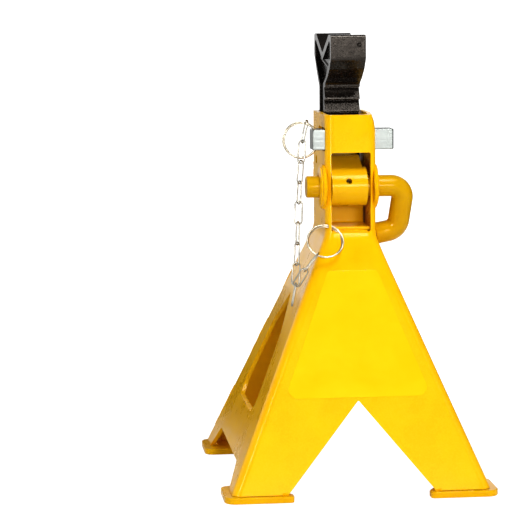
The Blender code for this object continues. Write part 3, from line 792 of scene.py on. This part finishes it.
def build_ratchet_bar():
    obj = finish("ratchet_bar_casting", turned(prism_x(bar_outline(), -BAR_HALF, BAR_HALF)), CAST)
    # pockets on both sides: one down the column, one under the V
    column = rounded(oblong(0.2, BAR_LOW + 8, BAR_BACK - 1.9, 248.4), 2.2)
    under = rounded([(-22.4, 263.4), (-8.6, 251.4), (0.3, 247.0), (10.8, 246.8), (25.4, 262.8),
                     (26.2, 272.8), (24.0, 274.2), (2.2, 261.8), (-19.6, 274.2), (-22.4, 272.8)],
                    (1.8, 3, 1.2, 2, 2.5, 1.0, 1.0, 3, 1.0, 1.0), 5)
    cutters = []
    for sx in (-1, 1):
        cutters.append(turned(prism_x(column, sx * 3.6, sx * 20)))
        cutters.append(turned(prism_x(under, sx * (BAR_HALF - 3.2), sx * 20)))
    cutters.append(turned(prism_x(circle(STOP_PIN_Y, BAR_LOW + STOP_PIN_UP, 2.8, 28), -20, 20)))
    cutters.append(turned(dimple()))
    cut(obj, cutters)
    spine = rounded_path([(21.0, 263.0), (8.0, 260.0), (-6.0, 257.0), (-16.0, 254.6)], (6.0, 6.0), 5)
    for sx in (-1, 1):
        rib = sweep([(sx * (BAR_HALF - 2.9), y, z) for y, z in spine], 0.8, 12)
        cut(obj, [turned(rib)], "UNION")
    soften(obj, 0.5, 3, 30)
    return place(obj, "lifting_bar", "ratchet_bar", "ratchet_bar")


def dimple():
    """Small moulding mark near the top of the front horn."""
    bm = bmesh.new()
    bmesh.ops.create_icosphere(bm, subdivisions=3, radius=1.5)
    bmesh.ops.translate(bm, vec=(BAR_HALF - 4.2, HORN_FRONT - 0.2, SADDLE_TOP - 6.2), verts=bm.verts)
    return bm


def build_stop_pin():
    round_bar = prism_x(circle(STOP_PIN_Y, BAR_LOW + STOP_PIN_UP, 2.5, 32), -11.9, 11.9)
    obj = finish("bar_stop_pin_round", turned(round_bar), STEEL)
    soften(obj, 0.5)
    return place(obj, "lifting_bar", "bar_stop_pin", "bar_stop_pin")


# ---------------------------------------------------------------- pawl and handle
def cross_hole():
    """Middle of the drum's cross hole, its direction and two directions square to it."""
    tilt = math.radians(PIN_TILT)
    along = Vector((0, -math.cos(tilt), math.sin(tilt)))
    side = Vector((1, 0, 0))
    return Vector((-1.0, AXIS_Y, AXIS_Z)), along, side, along.cross(side)


def radial(r, a0, a1):
    """Round bar through the drum, square to the shaft."""
    c, d, u, v = cross_hole()
    return loft([[tuple(c + d * a + u * x + v * y) for x, y in circle(0, 0, r, 24)] for a in (a0, a1)])


def build_pawl():
    lo, hi = low("pawl"), high("pawl")
    nose_end = hi.x - 2.3
    obj = finish("pawl_cast", prism_x(circle(AXIS_Y, AXIS_Z, DRUM_R, 96), lo.x, hi.x), PAINT_SHADED_PAWL_FEET)
    start = math.radians(112)
    nose = [(DRUM_R * math.cos(start), DRUM_R * math.sin(start) - 0.02), (11.3, 18.3), (25.84, 18.45),
            (25.0, 16.5), (23.9, 13.4), (20.0, 8.0), (11.0, -1.5), (2.0, -5.0), (-4.0, 3.0)]
    nose = rounded([(AXIS_Y + y, AXIS_Z + z) for y, z in nose], (0, 4.0, 0.5, 1.0, 2.0, 3.0, 2.0, 0, 0))
    cut(obj, [prism_x(nose, lo.x + 0.01, nose_end)], "UNION")
    cut(obj, [prism_x(circle(AXIS_Y, AXIS_Z, ROD_R + 0.3, 48), lo.x - 1, hi.x + 1), radial(1.8, -9.5, 14)])
    soften(obj, 0.55, 3, 40)
    return place(obj, "pawl_handle", "pawl", "pawl")


def build_handle():
    lo, hi = low("handle_shaft"), high("handle_shaft")
    lean = math.radians(HANDLE_LEAN)
    down = Vector((0, math.sin(lean), -math.cos(lean)))
    reach = HANDLE_DROP / math.cos(lean)
    out = hi.x - ROD_R
    flat = [(lo.x, 0.0), (out, 0.0), (out - HANDLE_IN, reach), (HANDLE_END, reach + HANDLE_DIP)]
    flat = rounded_path(flat, HANDLE_BENDS, 20)
    origin = Vector((0, AXIS_Y, AXIS_Z))
    path = [tuple(origin + Vector((x, 0, 0)) + down * s) for x, s in flat]
    up = (0.0, math.cos(lean), math.sin(lean))
    obj = finish("handle_rod", sweep(path, ROD_R, 48, up=up, domed=0.9), PAINT_ROD_SHADED, 40)
    return place(obj, "pawl_handle", "handle_shaft", "handle_shaft")


def build_roll_pin():
    """Slotted spring pin, seen in its hole at the front of the drum."""
    c, d, u, v = cross_hole()
    outside, inside, slot = 1.62, 0.95, 0.42       # two radii and half the slot's angle
    around = evenly(slot, 2 * math.pi - slot, 28)
    section = [(outside * math.cos(a), outside * math.sin(a)) for a in around]
    section += [(inside * math.cos(a), inside * math.sin(a)) for a in reversed(around)]
    rings = [[tuple(c + d * a + u * x * k + v * y * k) for x, y in section]
             for a, k in ((-9.0, 0.9), (-8.6, 1.0), (8.8, 1.0), (9.2, 0.9))]
    obj = finish("pawl_roll_pin_slotted", loft(rings), STEEL, 40)
    return place(obj, "pawl_handle", "pawl_roll_pin", "pawl_roll_pin")


# ---------------------------------------------------------------- keeper pin, rings and chain
def build_lock_pin():
    lo, hi = low("lock_pin"), high("lock_pin")
    plan = rounded(oblong(lo.x, lo.y, hi.x, hi.y), 1.1)
    obj = finish("lock_pin_bar", prism_z(plan, lo.z, hi.z), ZINC)
    hole_x = centre("pin_ring").x + RING_R - 0.9
    cut(obj, [prism_z(circle(hole_x, -28.0, 2.6, 36), 200, 225)])
    soften(obj, 0.55, 3)
    return place(obj, "keeper_pin", "lock_pin", "lock_pin")


def axes_of(node):
    """Centre and principal directions (longest first) of a CAD node's points, with its half sizes."""
    pts = np.array([v.co for v in frame["nodes"][node].data.vertices], float) / MM
    pts = np.unique(np.round(pts, 4), axis=0)
    middle = pts.mean(0)
    rows = np.linalg.svd(pts - middle, full_matrices=False)[2]
    along = (pts - middle) @ rows.T
    middle = middle + ((along.max(0) + along.min(0)) / 2) @ rows
    half = (along.max(0) - along.min(0)) / 2
    return Vector(middle), [Vector(r) for r in rows], half


def build_split_ring(name, body, normal, first):
    """Key-ring coil: flat wire wound twice, its two ends staggered."""
    middle = axes_of(name)[0]
    normal = Vector(normal).normalized()
    u = normal.cross(Vector((0, 0, 1))).normalized()
    v = normal.cross(u)
    wire, turns, count = 0.56, 1.93, 150

    def spot(k):
        """A point of the coil; half way it steps over from one turn to the next."""
        t = k / count
        a = first + 2 * math.pi * turns * t
        over = math.tanh((t - 0.5) * 9.0)
        lift = wire * 1.08 * over
        r = RING_R - 0.2 + 0.28 * over
        return tuple(middle + (u * math.cos(a) + v * math.sin(a)) * r + normal * lift)

    path = [spot(k) for k in range(count + 1)]
    obj = finish(name + "_coil", sweep(path, wire, 14, up=tuple(normal), domed=0.2), RING_WIRE, 60)
    return place(obj, body, name, name)


def build_link(name, body):
    """Welded oval wire link, on the place and turn of its CAD node."""
    middle, axes, half = axes_of(name)
    d, side, face = axes
    wire = half[2]
    bow = half[1] - wire
    straight = half[0] - half[1]
    path = []
    for sign in (1, -1):
        for k in range(13):
            a = math.pi * k / 12
            turn = d * (straight + bow * math.sin(a)) + side * bow * math.cos(a)
            path.append(tuple(middle + turn * sign))
        for k in (1, 2, 3):
            s = straight * (1 - 2 * k / 4)
            path.append(tuple(middle + (d * s - side * bow) * sign))

    def radius(i):
        """The butt weld, in one of the straight sides, stands proud."""
        return wire * (1.13 if i == 14 else 1.0)

    obj = finish(name + "_wire", sweep(path, radius, 12, closed=True, up=tuple(face)), WIRE, 60)
    return place(obj, body, name, name)


# ---------------------------------------------------------------- blank front label
def build_label():
    outline = [(15.2, 134.6), (43.2, 64.5), (39.5, 59.6), (-39.5, 59.6), (-43.2, 64.5), (-15.2, 134.6)]
    plan = rounded(outline, (2.5, 4, 4, 4, 4, 2.5), 8)
    slope = (BASE_HALF_Y + COL_FRONT) / (SHOULDER_Z - PAD_TOP)
    normal = Vector((0, -1, slope)).normalized()
    middle = Vector((0, LABEL_MID))
    rings = []
    for off, inset in ((0.05, 0.0), (0.20, 0.0), (0.26, 0.12)):
        shrink = 1 - inset / 30.0
        ring = [middle + (Vector(p) - middle) * shrink for p in plan]
        rings.append([tuple(Vector((x, front_y(z), z)) + normal * off) for x, z in ring])
    obj = finish("front_label_film", loft(rings), LABEL, 12)
    return place(obj, "frame", "front_label", "front_label")


# ---------------------------------------------------------------- the whole stand
build_base_shell()
build_rear_panel()
build_bar_guide()
for corner in ("front_left", "front_right", "rear_left", "rear_right"):
    build_foot("foot_" + corner)
build_rear_seams()
build_boss("boss_left", -1)
build_boss("boss_right", 1)
build_ratchet_bar()
build_stop_pin()
build_pawl()
build_handle()
build_roll_pin()
build_lock_pin()
build_split_ring("pin_ring", "upper_ring", (0, 1, 0), 2.4)
anchor_joint = [j for j in frame["joints"] if j["name"] == "lower_ring_turn"][0]
build_split_ring("anchor_ring", "lower_ring", anchor_joint["axis"], 1.1)
for body_name in ("chain_top", "chain_run", "chain_tail", "chain_elbow", "chain_end"):
    for node_name in frame["record"]["behaviour"]["bodies"][body_name]:
        build_link(node_name, body_name)
build_label()


# ---------------------------------------------------------------- floor, light and camera
def build_floor():
    """White sweep: a trace of shadow near the stand, pure white further out."""
    bm = bmesh.new()
    bmesh.ops.create_grid(bm, x_segments=2, y_segments=2, size=6000)
    obj = finish("studio_floor", bm, None)
    n = Nodes("pale_floor")
    tree = n.tree
    shade = n.mix(n.noise(3.0, 3.0), (0.90, 0.90, 0.895), (0.93, 0.93, 0.925))
    paper = n.set(colour=shade, rough=0.7, spec=0.2)
    away = tree.nodes.new("ShaderNodeVectorMath")
    away.operation = "LENGTH"
    tree.links.new(n.place, away.inputs[0])
    glow = tree.nodes.new("ShaderNodeEmission")
    glow.inputs["Strength"].default_value = 1.15
    seen = tree.nodes.new("ShaderNodeLightPath").outputs["Is Camera Ray"]
    share = n.maths("MULTIPLY", n.remap(away.outputs["Value"], 0.10, 0.28, 0.74, 1.0), seen)
    blend = tree.nodes.new("ShaderNodeMixShader")
    tree.links.new(share, blend.inputs[0])
    tree.links.new(n.bsdf.outputs[0], blend.inputs[1])
    tree.links.new(glow.outputs[0], blend.inputs[2])
    tree.links.new(blend.outputs[0], tree.nodes["Material Output"].inputs["Surface"])
    obj.data.materials.append(paper)


def build_flags():
    """Black cards, seen only in reflections: low behind the stand on its left, and along its right."""
    low_left = [(x, 360.0, z) for x, z in oblong(-520.0, 0.0, -40.0, 112.0)]
    right = [(350.0, y, z) for y, z in oblong(-120.0, 0.0, 950.0, 430.0)]
    for name, card in (("dark_card_left", low_left), ("dark_card_right", right)):
        bm = bmesh.new()
        bm.faces.new([bm.verts.new(p) for p in card])
        obj = finish(name, bm, None)
        obj.data.materials.append(Nodes(name).set(colour=(0.004, 0.003, 0.002), rough=0.9, spec=0.0))
        obj.visible_camera = obj.visible_diffuse = obj.visible_shadow = obj.visible_transmission = False


def soft_light(name, spot, aim_z, size, power):
    """Rectangular softbox, aimed at a height on the stand's middle line."""
    data = bpy.data.lights.new(name, "AREA")
    data.shape = "RECTANGLE"
    data.size, data.size_y = size
    data.energy = power
    obj = bpy.data.objects.new(name, data)
    bpy.context.scene.collection.objects.link(obj)
    obj.location = spot
    aim = Vector((0.0, 0.0, aim_z)) - Vector(spot)
    obj.rotation_euler = aim.to_track_quat("-Z", "Y").to_euler()
    return obj


def build_world():
    """White surround: bright at eye level behind the stand, calmer on the near side and overhead."""
    world = bpy.data.worlds.new("white_surround")
    bpy.context.scene.world = world
    world.use_nodes = True
    tree = world.node_tree
    back = tree.nodes["Background"]
    coords = tree.nodes.new("ShaderNodeTexCoord")
    split = tree.nodes.new("ShaderNodeSeparateXYZ")
    tree.links.new(coords.outputs["Generated"], split.inputs[0])
    behind = smooth_ramp(tree, split.outputs["Y"], (-0.30, 0.45, 0.10, 1.0))
    overhead = smooth_ramp(tree, split.outputs["Z"], (0.22, 0.62, 1.0, 0.10))
    both = tree.nodes.new("ShaderNodeMath")
    both.operation = "MULTIPLY"
    tree.links.new(behind, both.inputs[0])
    tree.links.new(overhead, both.inputs[1])
    ray = tree.nodes.new("ShaderNodeLightPath")
    strength = both.outputs[0]
    for kind, value in (("Is Diffuse Ray", 0.30), ("Is Camera Ray", 1.3)):
        pick = tree.nodes.new("ShaderNodeMix")
        tree.links.new(ray.outputs[kind], pick.inputs[0])
        tree.links.new(strength, pick.inputs[2])
        pick.inputs[3].default_value = value
        strength = pick.outputs[0]
    tree.links.new(strength, back.inputs["Strength"])
    back.inputs["Color"].default_value = (1.0, 1.0, 1.0, 1.0)


def spun(a, b, degrees):
    """Two square directions, turned in their plane."""
    turn = math.radians(degrees)
    return a * math.cos(turn) + b * math.sin(turn), b * math.cos(turn) - a * math.sin(turn)


def build_camera():
    """The photograph's view: from slightly left of the front, a little above the stand."""
    turn, away, rise = math.radians(8.0), 1.44156, 0.3121
    yaw, pitch, roll = -1.93, -7.11, -0.45
    ahead = Vector((math.sin(turn), math.cos(turn), 0))
    right = Vector((math.cos(turn), -math.sin(turn), 0))
    up = Vector((0, 0, 1))
    ahead, right = spun(ahead, right, yaw)
    ahead, up = spun(ahead, up, pitch)
    right, up = spun(right, up, roll)
    data = bpy.data.cameras.new("product_view")
    data.sensor_width = 36.0
    data.lens = 155.35
    data.clip_end = 50.0
    obj = bpy.data.objects.new("product_view", data)
    bpy.context.scene.collection.objects.link(obj)
    spot = Vector((-math.sin(turn) * away, -math.cos(turn) * away, rise))
    obj.matrix_world = Matrix.Translation(spot) @ Matrix((right, up, -ahead)).transposed().to_4x4()
    bpy.context.scene.camera = obj


build_floor()
build_flags()
build_world()
soft_light("key_softbox", (0.25, -0.56, 1.20), 0.14, (0.35, 0.35), 7.0)
soft_light("front_fill", (0.15, -1.95, 0.50), 0.12, (0.6, 0.4), 13.0)
soft_light("right_softbox", (1.25, -0.85, 0.70), 0.12, (0.6, 0.6), 1.0)
soft_light("left_strip", (-1.10, -1.02, 0.50), 0.12, (0.14, 1.1), 11.0).visible_diffuse = False
soft_light("left_fill", (-1.60, 0.0, 0.60), 0.10, (0.8, 0.8), 4.5).visible_glossy = False
build_camera()
bpy.context.scene.view_settings.view_transform = "Standard"
bpy.context.scene.view_settings.look = "Medium High Contrast"
